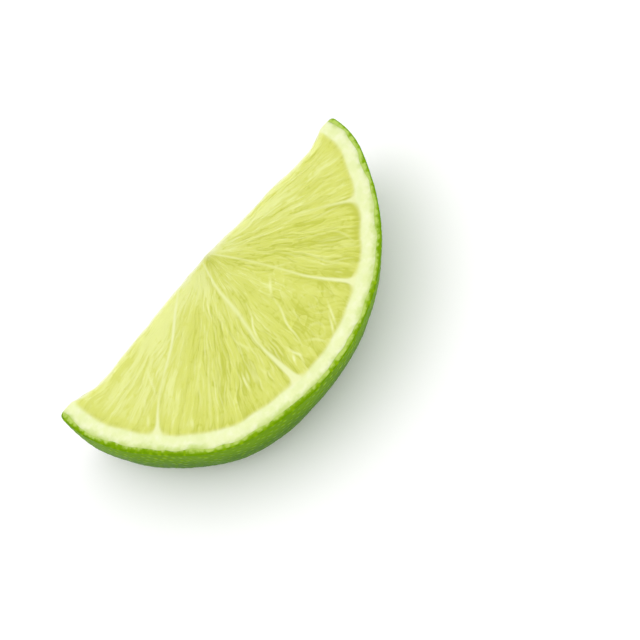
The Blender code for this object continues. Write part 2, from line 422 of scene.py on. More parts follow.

# Fine bright threads, partly the pale edges of sacs that the knife opened and partly painted
# highlights on the wet cut: where they lie round the core, how many, how long, how far they turn
# from the ray, and how white they are
threads = {
    "zones": {
        "upper": {"from": 0.06, "to": 0.42, "near": 5.0, "far": 21.0, "count": 26,
                  "length": (2.5, 6.5), "lean": 0.05, "white": 0.35},
        "second": {"from": 0.48, "to": 0.98, "near": 3.0, "far": 20.0, "count": 44,
                   "length": (2.0, 6.5), "lean": 0.07, "white": 0.40},
        "tangled": {"from": 1.02, "to": 1.60, "near": 4.0, "far": 20.5, "count": 44,
                    "length": (0.6, 2.2), "lean": 0.40, "white": 0.40},
        "fourth": {"from": 1.66, "to": 2.42, "near": 5.0, "far": 20.0, "count": 120,
                   "length": (1.2, 4.2), "lean": 0.09, "white": 0.55},
        "left": {"from": 2.55, "to": 2.85, "near": 9.0, "far": 21.0, "count": 34,
                 "length": (1.2, 3.5), "lean": 0.12, "white": 0.45},
    },
    "seed": 8,
    "onEdge": 90,
    "half": 0.030,
    "halfRange": (0.4, 1.6),
    "whiteRange": (0.4, 1.0),
    "soft": 0.16,
    "fade": 0.9,            # towards the ends
}


def threadSegments(scale=1.0):
    # start, direction, length, half width and whiteness of every thread
    draw = np.random.default_rng(threads["seed"])
    found = []
    for zone in threads["zones"].values():
        for _ in range(zone["count"]):
            turn = draw.uniform(zone["from"], zone["to"])
            away = math.sqrt(draw.uniform(zone["near"] ** 2, zone["far"] ** 2))
            length = draw.uniform(*zone["length"])
            heading = turn + draw.normal(0.0, zone["lean"])
            shown = zone["white"] * draw.uniform(*threads["whiteRange"])
            half = threads["half"] * draw.uniform(*threads["halfRange"])
            spotX, spotY = cut["coreX"] + away * math.cos(turn), -away * math.sin(turn)
            found.append((spotX, spotY, heading, length * scale, half, shown))
    return np.array(found)


def threadField(x, y, segments):
    shape = np.shape(x)
    x, y = np.ravel(x), np.ravel(y)
    found = np.zeros(len(x))
    cosines, sines = np.cos(segments[:, 2]), -np.sin(segments[:, 2])
    for part in partByPart(len(x)):
        awayX = x[part, None] - segments[None, :, 0]
        awayY = y[part, None] - segments[None, :, 1]
        halfLength = segments[:, 3] / 2.0
        along = np.clip(awayX * cosines + awayY * sines, -halfLength, halfLength)
        away = np.hypot(awayX - along * cosines, awayY - along * sines) - segments[None, :, 4]
        taper = np.cos(halfTurn * along / segments[:, 3] * threads["fade"])
        found[part] = np.max(segments[:, 5] * taper * (1.0 - smooth(away / threads["soft"])), axis=1)
    return found.reshape(shape)


# Paler and deeper places on the face: x, y, reach along the ray, reach across it, amount
hazes = [
    (14.5, -5.2, 5.0, 1.4, 0.36),       # milky band beside the upper membrane
    (9.0, -1.8, 4.0, 1.0, 0.25),
    (20.0, -4.5, 2.5, 2.5, 0.15),
    (-10.0, -2.6, 6.0, 1.6, 0.35),
    (-17.5, -4.5, 4.5, 3.0, 0.26),
    (-0.9, -7.6, 3.2, 1.3, 0.46),
    (-7.6, -16.2, 2.6, 1.8, -0.20),
    (14.0, -9.6, 3.0, 1.3, -0.12),
    (-3.0, -0.9, 3.0, 1.2, 0.26),
    (-12.0, -5.6, 4.5, 1.2, 0.20),
    (-5.4, -1.9, 2.5, 0.9, 0.22),
    (5.4, -11.4, 2.0, 1.4, -0.14),
    (-9.7, -13.8, 3.0, 1.6, -0.14),
    (16.8, -5.0, 4.0, 1.3, -0.22),
    (4.8, -1.1, 2.0, 0.7, 0.22),
    (-0.5, -12.0, 2.2, 1.3, 0.24),
    (10.0, -3.9, 2.5, 1.0, 0.14),
    (-1.0, -3.5, 3.0, 1.6, 0.30),
    (-5.3, -15.8, 3.6, 2.6, -0.42),
    (3.0, -16.0, 3.0, 2.4, -0.42),
    (-12.9, -8.6, 3.6, 1.4, 0.66),
    (12.6, -10.8, 5.0, 1.8, -0.45),
    (-8.3, -4.1, 4.0, 1.1, 0.40),
    (-0.2, -2.1, 1.8, 1.4, 0.25),
    (5.5, -7.9, 2.8, 1.4, 0.48),
    (-2.2, -4.4, 1.5, 0.8, -0.20),
    (7.2, -5.4, 5.0, 0.8, 0.15),
    (19.4, -12.0, 1.8, 1.5, -0.80),     # deep corner beside the pith
    (12.0, -7.6, 6.0, 1.1, -0.25),
    (13.5, -14.5, 3.0, 2.0, -0.30),
    (8.0, -9.0, 5.0, 2.4, -0.12),
    (1.9, -1.4, 0.9, 0.8, -0.55),       # painted shade at the core
    (3.4, -3.8, 2.4, 0.7, 0.05),
    (-1.6, -2.2, 2.0, 1.2, 0.35),
    (4.0, -1.4, 2.0, 1.0, 0.30),
    (13.0, -2.0, 8.0, 1.2, 0.30),
    (-7.0, -1.4, 5.0, 1.0, 0.42),
    (-4.0, -8.0, 4.0, 2.0, -0.12),
]


def hazeField(x, y):
    total = np.zeros(np.shape(x))
    for spotX, spotY, along, across, amount in hazes:
        heading = math.atan2(-spotY, spotX - cut["coreX"])
        awayX, awayY = x - spotX, y - spotY
        forward = (awayX * math.cos(heading) - awayY * math.sin(heading)) / along
        aside = (awayX * math.sin(heading) + awayY * math.cos(heading)) / across
        total += amount * np.exp(-forward ** 2 - aside ** 2)
    return total


# Radians round the core, and how strongly the sacs show as streaks there
streakShares = {
    "turn": (0.0, 0.4, 0.5, 1.0, 1.1, 1.6, 1.75, 2.3, 2.5, halfTurn),
    "share": (0.88, 0.88, 1.25, 1.15, 1.05, 1.05, 1.0, 1.05, 0.75, 0.75),
}


def streakShare(x, y):
    turn = np.arctan2(-y, x - cut["coreX"])
    return np.interp(turn, streakShares["turn"], streakShares["share"])


def tangle(x, y):
    # 1 where the sacs lie every way
    turn = np.arctan2(-y, x - cut["coreX"])
    away = np.hypot(x - cut["coreX"], y)
    fromStart, toEnd = (turn - tangled["from"]) / tangled["blend"], (tangled["to"] - turn) / tangled["blend"]
    return smooth(fromStart) * smooth(toEnd) * smooth((away - tangled["start"]) / tangled["blendOut"])


def sacSeeds(seed, scale=1.0):
    # rings of sacs round the core
    draw = np.random.default_rng(seed)
    found = []
    row = 0
    radius = sacs["innerRing"]
    while radius < sacs["reach"] + 2.0:
        full = min(radius / sacs["fullSizeAt"], 1.0)
        length = sacs["length"] * scale * mix(sacs["shareAtCore"][0], 1.0, full)
        width = sacs["width"] * scale * mix(sacs["shareAtCore"][1], 1.0, full)
        count = max(4, round(halfTurn * radius / width))
        for k in range(count + 1):
            turn = halfTurn * (k + 0.5 * (row % 2)) / count
            turn += draw.uniform(-sacs["stray"], sacs["stray"]) * width / radius
            away = radius + draw.uniform(-0.5, 0.5) * length
            size, stretch = draw.uniform(*sacs["sizeRange"], 2)
            lean, tone = draw.normal(0.0, sacs["lean"]), draw.uniform(0.0, 1.0)
            spotX, spotY = cut["coreX"] + away * math.cos(turn), -away * math.sin(turn)
            if tangled["from"] < turn < tangled["to"] and away > tangled["start"]:
                if draw.uniform(0.0, 1.0) < tangled["missing"]:
                    continue
                lean *= tangled["lean"] / sacs["lean"]
                halfLength, halfWidth = 0.5 * tangled["length"] * stretch, 0.5 * tangled["width"] * size
            else:
                halfLength, halfWidth = 0.5 * length * stretch, 0.5 * width * size
            found.append((spotX, spotY, turn + lean, halfLength, halfWidth, tone))
        radius += 0.5 * length
        row += 1
    return np.array(found)


def sacField(x, y, seeds):
    # for each point: the tone of its sac and how close the wall between two sacs is
    shape = np.shape(x)
    x, y = np.ravel(x), np.ravel(y)
    tone, wall = np.zeros(len(x)), np.zeros(len(x))
    cosines, sines = np.cos(seeds[:, 2]), -np.sin(seeds[:, 2])
    for part in partByPart(len(x)):
        awayX = x[part, None] - seeds[None, :, 0]
        awayY = y[part, None] - seeds[None, :, 1]
        along = (awayX * cosines + awayY * sines) / seeds[None, :, 3]
        across = (awayY * cosines - awayX * sines) / seeds[None, :, 4]
        taper = np.clip(1.0 + sacs["outerTaper"] * along, 0.45, 1.6)
        distance = np.sqrt(along ** 2 + (across / taper) ** 2)
        two = np.partition(distance, 1, axis=1)[:, :2]
        weight = np.exp(-(distance - two[:, :1]) / sacs["blend"])
        tone[part] = weight @ seeds[:, 5] / weight.sum(axis=1)
        wall[part] = 1.0 - smooth((two[:, 1] - two[:, 0]) / sacs["wallShare"])
    return tone.reshape(shape), wall.reshape(shape)


# The inside of the fruit: pith, membranes and segments, as one body
flesh = {
    "recess": 0.08,         # the segments lie this far under the face
    "crown": 0.06,
    "pithRise": 0.06,
    "crownReach": 2.2,
    "wallRise": 0.035,
    "toneRise": 0.045,
    "splitRise": 0.05,
    "splitSoft": 0.20,
    "swellRise": 0.02,
    "fineRise": 0.012,
    "membraneHeight": (-0.06, -0.02),       # where it is faint, and where it is white
    "membraneFlare": 1.2,
    "cornerRounding": 1.5,
    "softCorner": 0.22,     # the flesh is rounded off at the straight edge
    "softCornerReach": 0.25,
    "softEdge": 0.30,       # how gradually a membrane turns into flesh
    "softFaint": 0.80,      # where the membrane is faint
    "softPith": 0.85,
    "pithSoft": 0.5,
    "pithAtTips": 1.85,
    "pithInMiddle": 2.10,
    "pithWander": 0.10,
    "columns": 720,         # round the outer part of the shown face
    "innerRings": 34,       # rings with half as many columns
    "rings": 112,
    "backColumns": 240,
    "backRings": 42,
    "backScale": 1.3,       # the sacs of the back are this much larger
    "rayTurn": 14.0,        # how close the fine streaks round the core are
    "swirl": 0.14,          # how much they wander
    "fan": 0.040,
    "sideColumns": 60,
    "rows": 54,
}


def pithInner(turn, depth):
    # radius where the pith ends and the segments begin
    pith = mix(flesh["pithAtTips"], flesh["pithInMiddle"], np.sin(turn))
    uneven = ripple(turn * cut["faceRadius"], depth * 0.4, 6.0, noiseSeeds["pith"])
    return rindRadius(turn, depth) - cut["zest"] - pith - flesh["pithWander"] * uneven


def sacRelief(tone, wall):
    # paler sacs stand up with ridged walls, deeper ones lie lower between grooves
    return flesh["wallRise"] * (wall * 2.0 * (tone > 0.5) - wall) + flesh["toneRise"] * (tone - 0.5)


def splitField(x, y):
    # how white the smaller walls and the painted highlights are at x, y
    found = np.zeros(np.shape(x))
    for half, white, way in splits.values():
        away, shown = lineDistance(x, y, way, (0.0, half, half, 0.0), (0.2, white, white, 0.2))
        found = np.maximum(found, shown * (1.0 - smooth(away / flesh["splitSoft"])))
    return found


def membraneField(x, y):
    # how far the nearest membrane is, and how white it is there
    nearest, white = np.full(np.shape(x), math.inf), np.zeros(np.shape(x))
    for line in membranes.values():
        away, shown = lineDistance(x, y, line["way"], line["half"], line["white"])
        white = np.where(away < nearest, shown, white)
        nearest = np.minimum(nearest, away)
    return nearest, white


def facePattern(x, y, depth, seeds, seed, shownFace):
    # what a cut across the fruit shows at x, y
    turn = np.arctan2(-y, x)
    radius = np.hypot(x, y)
    scale = rindRadius(turn, depth) / rindRadius(turn, 0.0)
    warpX = sacs["wave"] * ripple(x, y, 5.5, seed + 1) + sacs["waveFine"] * ripple(x, y, 1.8, seed + 2)
    warpY = sacs["wave"] * ripple(x, y, 5.5, seed + 3) + sacs["waveFine"] * ripple(x, y, 1.8, seed + 4)
    tone, wall = sacField(x + warpX, y + warpY, seeds)
    membrane, white = membraneField(x / scale, y / scale)
    split = threadField(x + warpX, y + warpY, threadSegments(1.0 if shownFace else flesh["backScale"]))
    split = split * smooth((1.0 - radius / sacs["reach"]) * 6.0)
    if shownFace:
        split = np.maximum(split, splitField(x + 0.3 * warpX, y + 0.3 * warpY))
    inner = pithInner(turn, depth)
    inside = softMin(membrane, inner - radius, flesh["cornerRounding"])
    beside = smooth((membrane - inner + radius) / flesh["membraneFlare"] + 0.5)
    soft = mix(mix(flesh["softFaint"], flesh["softEdge"], white), flesh["softPith"], beside)
    isFlesh = smooth(inside / soft + 0.5)
    isPith = smooth((radius - inner) / flesh["pithSoft"] + 0.5)
    height = -flesh["recess"] + flesh["crown"] * smooth(inside / flesh["crownReach"]) + sacRelief(tone, wall)
    height += flesh["swellRise"] * ripple(x, y, 2.2, seed + 5) + flesh["splitRise"] * split
    fine = flesh["fineRise"] * ripple(x, y, 0.7, seed + 6)
    bulge = np.clip(np.sin(halfTurn * (radius - inner) / flesh["crownReach"]), 0.0, 1.0)
    wallHeight = mix(mix(*flesh["membraneHeight"], white), flesh["pithRise"] * bulge, isPith) + fine
    return {
        "height": mix(wallHeight, height, isFlesh), "flesh": isFlesh, "pith": isPith,
        "wall": wall * isFlesh, "tone": tone, "split": split * isFlesh,
        "inside": np.clip(inside, 0.0, shadeLimit), "white": np.maximum(white, isPith),
        "haze": hazeField(x, y), "streaks": streakShare(x, y),
    }


# The straight cut along the core shows sacs, pith at the ends and no membranes
straight = {
    "recess": 0.14,
    "crown": 0.08,
    "coreHalf": 0.55,
    "coreWander": 0.15,
    "wave": (0.20, 0.15),   # how much the sacs are bent, along the edge and in depth
    "cornerRounding": 0.9,
    "swellRise": 0.03,
    "wallShare": 0.6,       # how much of the sacs shows, against the shown face
    "haze": 0.26,
    "hazeWander": 0.07,
    "streaks": 1.6,
    "startDepth": -0.6,
    "rowStep": 0.62,
    "sacStep": 0.62,        # share of its length from one sac to the next
    "sacLength": (3.5, 7.0),
    "sacWidth": (0.5, 0.95),
    "lean": 0.08,
    "threadSpan": (2.0, 21.0),
    "threadLength": (1.2, 4.5),
    "threadLean": 0.09,
    "threadWhite": (0.15, 0.6),
    "cornerFade": 0.8,      # relief fades out towards the front and back edges
    "edgeShade": 0.45,      # how far from an edge its corners count
    "rayStart": 40.0,       # keeps the fine streaks apart from those of the face
    "rayDepth": 1.5,        # how close they are
    "swirl": 0.22,
}


def fanned(x, depth):
    # lines of equal value fan out from the middle of the core
    return (depth - 0.5 * thickness) / (1.0 + flesh["fan"] * np.abs(x - cut["coreX"]))


def edgePattern(x, depth, tipRight, tipLeft, seeds, strands, seed):
    # what the cut along the core shows at x and depth
    tip = np.where(x > cut["coreX"], tipRight, tipLeft)
    inner = tip - cut["zest"] - flesh["pithAtTips"]
    warpX = straight["wave"][0] * ripple(x, depth, 4.0, seed + 1)
    warpY = straight["wave"][1] * ripple(x, depth, 3.0, seed + 2)
    tone, wall = sacField(x + warpX, -depth + warpY, seeds)
    coreAt = cut["coreX"] + straight["coreWander"] * ripple(depth, depth, 7.0, seed + 3)
    core = np.abs(x - coreAt) - straight["coreHalf"]
    inside = softMin(core, inner - np.abs(x), straight["cornerRounding"])
    isFlesh = smooth(inside / flesh["softEdge"] + 0.5)
    isPith = smooth((np.abs(x) - inner) / flesh["pithSoft"] + 0.5)
    height = -straight["recess"] + straight["crown"] * smooth(inside / 2.0) + sacRelief(tone, wall)
    height += straight["swellRise"] * ripple(x, depth, 2.2, seed + 5)
    fine = flesh["fineRise"] * ripple(x, depth, 0.7, seed + 6)
    thread = threadField(x + warpX, -depth + warpY, strands) * smooth((inner - np.abs(x)) / 1.5)
    return {
        "height": mix(fine, height, isFlesh), "flesh": isFlesh, "pith": isPith,
        "wall": straight["wallShare"] * wall * isFlesh, "tone": mix(0.5, tone, straight["wallShare"]),
        "split": thread * isFlesh, "inside": np.clip(inside, 0.0, shadeLimit),
        "white": np.maximum(0.5, isPith),
        "haze": straight["haze"] + straight["hazeWander"] * ripple(x, depth, 9.0, seed + 7),
        "streaks": np.full(np.shape(x), straight["streaks"]),
    }


def faceShades(pattern, rayAlong, rayAcross, edge, rimShare):
    shades = {k: v for k, v in pattern.items() if k != "height"}
    shades["edge"] = edge
    shades["rimShare"] = rimShare
    shades["ray"] = np.stack([rayAlong, rayAcross, np.zeros(np.shape(rayAlong))], -1)
    return shades


def facePoints(turns, shares, depth, seeds, seed, shownFace):
    # a cut across the fruit, as a fan of columns from the core to the zest
    border = rindRadius(turns, depth) - zestInset(turns, depth)
    borderX, borderY = border * np.cos(turns), -border * np.sin(turns)
    x = cut["coreX"] + shares[None, :] * (borderX[:, None] - cut["coreX"])
    y = shares[None, :] * borderY[:, None]
    pattern = facePattern(x, y, depth, seeds, seed, shownFace)
    tipRight, tipLeft = rindRadius(0.0, depth), rindRadius(halfTurn, depth)
    dip = edgeDip(x, tipRight, tipLeft)
    dip += cut["dipSway"] * ripple(x, y, 2.6, noiseSeeds["dip"]) * pattern["flesh"]
    placedY = y - dip * np.exp(y / cut["dipFade"])
    away = np.hypot(x - cut["coreX"], y)
    around = np.arctan2(-y, x - cut["coreX"])
    rim = away / np.maximum(shares[None, :], 1e-6) * (1.0 - shares[None, :]) + greenShift(turns)[:, None]
    swirl = flesh["swirl"] + tangled["swirl"] * tangle(x, y)
    away = away + swirl * ripple(x, y, 5.0, seed + 8)
    across = around * flesh["rayTurn"] + swirl * ripple(x, y, 5.0, seed + 9)
    edge, rim = np.clip(-y, 0.0, shadeLimit), np.clip(rim, -1.0, shadeLimit)
    shades = faceShades(pattern, away, across, edge, rim)
    return x, placedY, pattern["height"], shades


def addFront(points, turns, shares, seeds):
    # the shown face, or a band of its rings
    x, y, height, shades = facePoints(turns, shares, 0.0, seeds, noiseSeeds["shown"], True)
    softCorner = flesh["softCorner"] * np.exp(-shades["edge"] / flesh["softCornerReach"]) * shades["flesh"]
    z = thickness + height - softCorner
    return points.add(np.stack([x, y, z], -1), shades).reshape(x.shape)


def fleshBody():
    turns = np.linspace(0.0, halfTurn, flesh["columns"] + 1)
    backTurns = np.linspace(0.0, halfTurn, flesh["backColumns"] + 1)
    sideTurns = np.linspace(0.0, halfTurn, flesh["sideColumns"] + 1)
    shares = np.linspace(0.0, 1.0, flesh["rings"] + 1)
    backShares = np.linspace(0.0, 1.0, flesh["backRings"] + 1)
    frontSeeds = sacSeeds(sacs["seed"])
    backSeeds = sacSeeds(sacs["seed"] + 1, scale=flesh["backScale"])
    edgeSeeds = np.concatenate([edgeSacs(sacs["seed"] + 2, 1.0), edgeSacs(sacs["seed"] + 3, -1.0)])
    strands = edgeThreads()
    points = PointList()
    faces = []

    split = flesh["innerRings"]
    innerIds = addFront(points, turns[::2], shares[:split + 1], frontSeeds)
    outerIds = addFront(points, turns, shares[split + 1:], frontSeeds)
    innerIds[:, 0] = innerIds[0, 0]
    faces += gridFaces(innerIds)
    faces += stitch(innerIds[:, -1], outerIds[:, 0])
    faces += gridFaces(outerIds)
    print("shown face patterned")

    # the back, which rests on its pith and membranes
    x, y, height, shades = facePoints(backTurns, backShares, thickness, backSeeds, noiseSeeds["back"], False)
    z = np.maximum(0.0, flesh["pithRise"] - height)
    backIds = points.add(np.stack([x, y, z], -1), shades).reshape(x.shape)
    backIds[:, 0] = backIds[0, 0]
    faces += gridFaces(backIds)

    # the straight face, from the -x tip over the core to the +x tip, row by row
    leftEdge = np.concatenate([innerIds[-1], outerIds[-1]])
    rightEdge = np.concatenate([innerIds[0], outerIds[0]])
    rowIds = [np.concatenate([leftEdge[::-1], rightEdge[1:]])]
    backRow = np.concatenate([backIds[-1, ::-1], backIds[0, 1:]])
    signed = np.concatenate([-shares[::-1], shares[1:]])
    wallIds = []
    for row in range(1, flesh["rows"]):
        depth = thickness * row / flesh["rows"]
        tipRight, tipLeft = rindRadius(0.0, depth), rindRadius(halfTurn, depth)
        endRight = tipRight - zestInset(0.0, depth)
        endLeft = -tipLeft + zestInset(halfTurn, depth)
        end = np.where(signed > 0.0, endRight, endLeft)
        x = cut["coreX"] + np.abs(signed) * (end - cut["coreX"])
        depths = np.full(x.shape, depth)
        pattern = edgePattern(x, depths, tipRight, tipLeft, edgeSeeds, strands, noiseSeeds["straight"])
        fromFront, fromBack = depth / straight["cornerFade"], (thickness - depth) / straight["cornerFade"]
        fade = float(smooth(fromFront) * smooth(fromBack))
        y = -edgeDip(x, tipRight, tipLeft) + pattern["height"] * fade
        sway = ripple(x, np.zeros(x.shape), 2.6, noiseSeeds["dip"])
        y -= cut["dipSway"] * sway * pattern["flesh"] * (1.0 - fade)
        rim = np.clip((1.0 - np.abs(signed)) * np.abs(end - cut["coreX"]), 0.0, shadeLimit)
        swirl = straight["swirl"] * ripple(x, depths, 6.0, noiseSeeds["straight"] + 9)
        across = straight["rayStart"] + straight["rayDepth"] * fanned(x, depths) + swirl
        fromEdge = straight["edgeShade"] + np.minimum(depths, thickness - depths)
        shades = faceShades(pattern, np.abs(x - cut["coreX"]) + swirl, across, fromEdge, rim)
        ids = points.add(np.stack([x, y, thickness - depths], -1), shades)
        rowIds.append(ids)

        # the hidden side against the zest
        inner = sideTurns[1:-1]
        border = rindRadius(inner, depth) - zestInset(inner, depth)
        plain = {k: np.zeros((len(inner), 3 if k == "ray" else 1)) for k in shades}
        level = np.full(inner.shape, thickness - depth)
        side = points.add(np.stack([border * np.cos(inner), -border * np.sin(inner), level], -1), plain)
        wallIds.append(np.concatenate([[ids[-1]], side, [ids[0]]]))
    faces += gridFaces(rowIds)
    faces += stitch(rowIds[-1], backRow)
    faces += stitch(outerIds[:, -1], wallIds[0])
    faces += gridFaces(wallIds)
    faces += stitch(wallIds[-1], backIds[:, -1])
    return makeMesh("segmentsAndPith", points.allPoints(), faces, points.allShades())


def edgeThreads():
    # fine threads on the straight face
    draw = np.random.default_rng(threads["seed"] + 1)
    found = []
    for _ in range(threads["onEdge"]):
        side = draw.choice((-1.0, 1.0))
        x = cut["coreX"] + side * draw.uniform(*straight["threadSpan"])
        y = -draw.uniform(straight["cornerFade"], thickness - straight["cornerFade"])
        heading = draw.normal(0.0, straight["threadLean"])
        length = draw.uniform(*straight["threadLength"])
        half = threads["half"] * draw.uniform(*threads["halfRange"])
        found.append((x, y, heading, length, half, draw.uniform(*straight["threadWhite"])))
    return np.array(found)


def edgeSacs(seed, side):
    # sacs that show along the straight face, pointing at the core from both sides
    draw = np.random.default_rng(seed)
    found = []
    depth = straight["startDepth"]
    while depth < thickness - straight["startDepth"]:
        away = 1.0 + draw.uniform(0.0, 2.5)
        while away < sacs["reach"]:
            length = draw.uniform(*straight["sacLength"])
            fan = flesh["fan"] * float(fanned(cut["coreX"] + away, depth))
            spot = -depth + draw.uniform(-0.20, 0.20)
            heading = (0.0 if side > 0.0 else halfTurn) + side * fan + draw.normal(0.0, straight["lean"])
            width = draw.uniform(*straight["sacWidth"])
            tone = draw.uniform(0.0, 1.0)
            found.append((cut["coreX"] + side * away, spot, heading, 0.5 * length, 0.5 * width, tone))
            away += straight["sacStep"] * length
        depth += straight["rowStep"]
    return np.array(found)


# The whole scene is lit this much over an even white, and the colours are darker to match,
# so that the shadow on the floor stays pale
lightLevel = 1.16


def linear(red, green, blue):
    # colours are noted as they look on screen, 0 to 255
    def one(value):
        value /= 255.0
        plain = value / 12.92 if value <= 0.04045 else ((value + 0.055) / 1.055) ** 2.4
        return plain / lightLevel
    return one(red), one(green), one(blue)


class Nodes:
    # short calls for the nodes of a material; colours are noted 0 to 255
    def __init__(self, name):
        self.material = bpy.data.materials.new(name)
        self.material.use_nodes = True
        self.tree = self.material.node_tree
        self.shader = self.tree.nodes["Principled BSDF"]

    def add(self, kind, **settings):
        node = self.tree.nodes.new(kind)
        for key, value in settings.items():
            setattr(node, key, value)
        return node

    def link(self, source, target):
        self.tree.links.new(source, target)

    def shade(self, title):
        return self.add("ShaderNodeAttribute", attribute_name=title).outputs["Fac"]

    def vector(self, title):
        return self.add("ShaderNodeAttribute", attribute_name=title).outputs["Vector"]

    def feed(self, socket, value):
        if isinstance(value, bpy.types.NodeSocket):
            self.link(value, socket)
        elif isinstance(value, tuple) and len(value) == 3 and socket.type == "RGBA":
            socket.default_value = (*linear(*value), 1.0)
        else:
            socket.default_value = value

    def math(self, operation, first, second=0.0, clamp=False):
        node = self.add("ShaderNodeMath", operation=operation, use_clamp=clamp)
        self.feed(node.inputs[0], first)
        self.feed(node.inputs[1], second)
        return node.outputs[0]

    def total(self, *values, clamp=False):
        found = values[0]
        for value in values[1:-1]:
            found = self.math("ADD", found, value)
        return self.math("ADD", found, values[-1], clamp)

    def times(self, first, second):
        return self.math("MULTIPLY", first, second)

    def blend(self, share, first, second):
        node = self.add("ShaderNodeMix", data_type="RGBA")
        self.feed(node.inputs[0], share)
        self.feed(node.inputs[6], first)
        self.feed(node.inputs[7], second)
        return node.outputs[2]

    def range(self, value, low, high, newLow=0.0, newHigh=1.0):
        node = self.add("ShaderNodeMapRange", interpolation_type="SMOOTHSTEP")
        for socket, setting in zip(node.inputs[:5], (value, low, high, newLow, newHigh)):
            self.feed(socket, setting)
        return node.outputs[0]

    def vary(self, noise, low, high, reach=0.2):
        # noise stays within reach of a half nearly everywhere
        return self.range(noise, 0.5 - reach, 0.5 + reach, low, high)

    def noise(self, place, scale, detail=3.0, roughness=0.5, distortion=0.0):
        node = self.add("ShaderNodeTexNoise")
        self.link(place, node.inputs["Vector"])
        node.inputs["Scale"].default_value = scale
        node.inputs["Detail"].default_value = detail
        node.inputs["Roughness"].default_value = roughness
        node.inputs["Distortion"].default_value = distortion
        return node.outputs["Fac"]

    def stretch(self, place, scale):
        node = self.add("ShaderNodeVectorMath", operation="MULTIPLY")
        self.link(place, node.inputs[0])
        node.inputs[1].default_value = scale
        return node.outputs[0]

    def place(self):
        return self.add("ShaderNodeTexCoord").outputs["Object"]

    def bump(self, height, distance, strength=1.0):
        node = self.add("ShaderNodeBump")
        node.inputs["Distance"].default_value = distance
        node.inputs["Strength"].default_value = strength
        self.link(height, node.inputs["Height"])
        return node.outputs["Normal"]


fleshLook = {
    "deep": (206, 212, 73),
    "middle": (223, 228, 111),
    "pale": (236, 241, 155),
    # pale walls and threads, which carry painted highlights too; glint is a painted highlight on their
    # whitest parts
    "line": (240, 244, 170),
    "glint": (246, 250, 194),
    # painted highlight along the rounded straight edge
    "rim": (238, 241, 196),
    "membrane": (240, 245, 182),
    "pith": (239, 247, 184),
    "pithWhite": (246, 251, 206),
    "pithTint": (230, 241, 168),
    "pithGreen": (200, 222, 116),
    "hazeInside": (0.30, 0.52),     # beside a membrane, and in the middle of a segment, where painted wet sheen adds to its paler tone
    # painted light near the straight edge, where light comes in through the cut
    "edgeLightShare": 0.16,
    "wallStreak": 0.22,
    "fibreStreak": 0.12,
    "strandStreak": 0.10,
    "toneStreak": 0.10,
    "speckDrop": 0.22,
    "roughness": 0.36,
    "pithRoughness": 0.55,
    "coat": 0.30,
    "coatRoughness": 0.14,
    "grainBump": 0.00010,           # in metres, as is the next one
    "lightDepth": 0.0014,           # how far light wanders under the surface
    "lightSpread": (1.0, 1.0, 0.9),
    "refraction": 1.36,
}


def pulpColour(nodes, place, fibres, strands):
    # paler towards the middle of a segment, partly its own lighter tone and partly painted wet sheen, and
    # deeper beside the pith and the membranes; paler at the straight edge, where light coming in through the
    # cut and a highlight on the rounded edge are painted
    look = fleshLook
    clouds = nodes.noise(place, 220.0, 2.0, 0.5)
    haze = nodes.range(nodes.shade("inside"), 0.0, 1.6, *look["hazeInside"])
    haze = nodes.times(haze, nodes.vary(clouds, 0.85, 1.15))
    # painted light near the straight edge and near the corners of the straight face
    paintedEdgeLight = nodes.range(nodes.shade("edge"), 0.8, 3.5, look["edgeLightShare"], 0.0)
    haze = nodes.total(haze, paintedEdgeLight, nodes.times(nodes.shade("haze"), 0.8))
    tone = nodes.shade("tone")
    streaks = nodes.total(
        nodes.times(nodes.shade("wall"), nodes.vary(tone, -look["wallStreak"], look["wallStreak"])),
        nodes.vary(fibres, -look["fibreStreak"], look["fibreStreak"]),
        nodes.vary(strands, -look["strandStreak"], look["strandStreak"]),
        nodes.vary(tone, -look["toneStreak"], look["toneStreak"], reach=0.5),
    )
    specks = nodes.range(nodes.noise(place, 1000.0, 1.0, 0.5), 0.58, 0.76, 0.0, -look["speckDrop"])
    haze = nodes.total(haze, nodes.times(streaks, nodes.shade("streaks")), specks, clamp=True)
    pulp = nodes.blend(nodes.range(haze, 0.0, 0.5), look["deep"], look["middle"])
    pulp = nodes.blend(nodes.range(haze, 0.5, 1.0), pulp, look["pale"])
    # painted highlight along the rounded straight edge and the straight face's corners, broken up by noise
    fromEdge = nodes.total(nodes.shade("edge"), nodes.vary(nodes.noise(place, 420.0), -0.15, 0.45))
    pulp = nodes.blend(nodes.range(fromEdge, 0.0, 1.2, 0.85, 0.0), pulp, look["rim"])
    # pale walls and threads, with a painted highlight where they are whitest
    pulp = nodes.blend(nodes.shade("split"), pulp, look["line"])
    return nodes.blend(nodes.range(nodes.shade("split"), 0.62, 1.0), pulp, look["glint"])


def pithColour(nodes, place):
    # the pith is mottled, and greener beside the zest
    look = fleshLook
    speckle = nodes.noise(place, 1000.0, 2.0, 0.5)
    spots = nodes.noise(place, 600.0, 2.0, 0.5)
    blotches = nodes.noise(place, 480.0, 3.0, 0.55)
    pith = nodes.blend(nodes.range(speckle, 0.35, 0.75), look["pith"], look["pithWhite"])
    pith = nodes.blend(nodes.range(blotches, 0.44, 0.66, 0.0, 0.55), pith, look["pithTint"])
    unevenRim = nodes.vary(speckle, -0.16, 0.16, reach=0.25)
    rim = nodes.total(nodes.shade("rimShare"), unevenRim, nodes.vary(spots, -0.22, 0.22))
    return nodes.blend(nodes.range(rim, -0.20, 0.90, 0.9, 0.0), pith, look["pithGreen"])


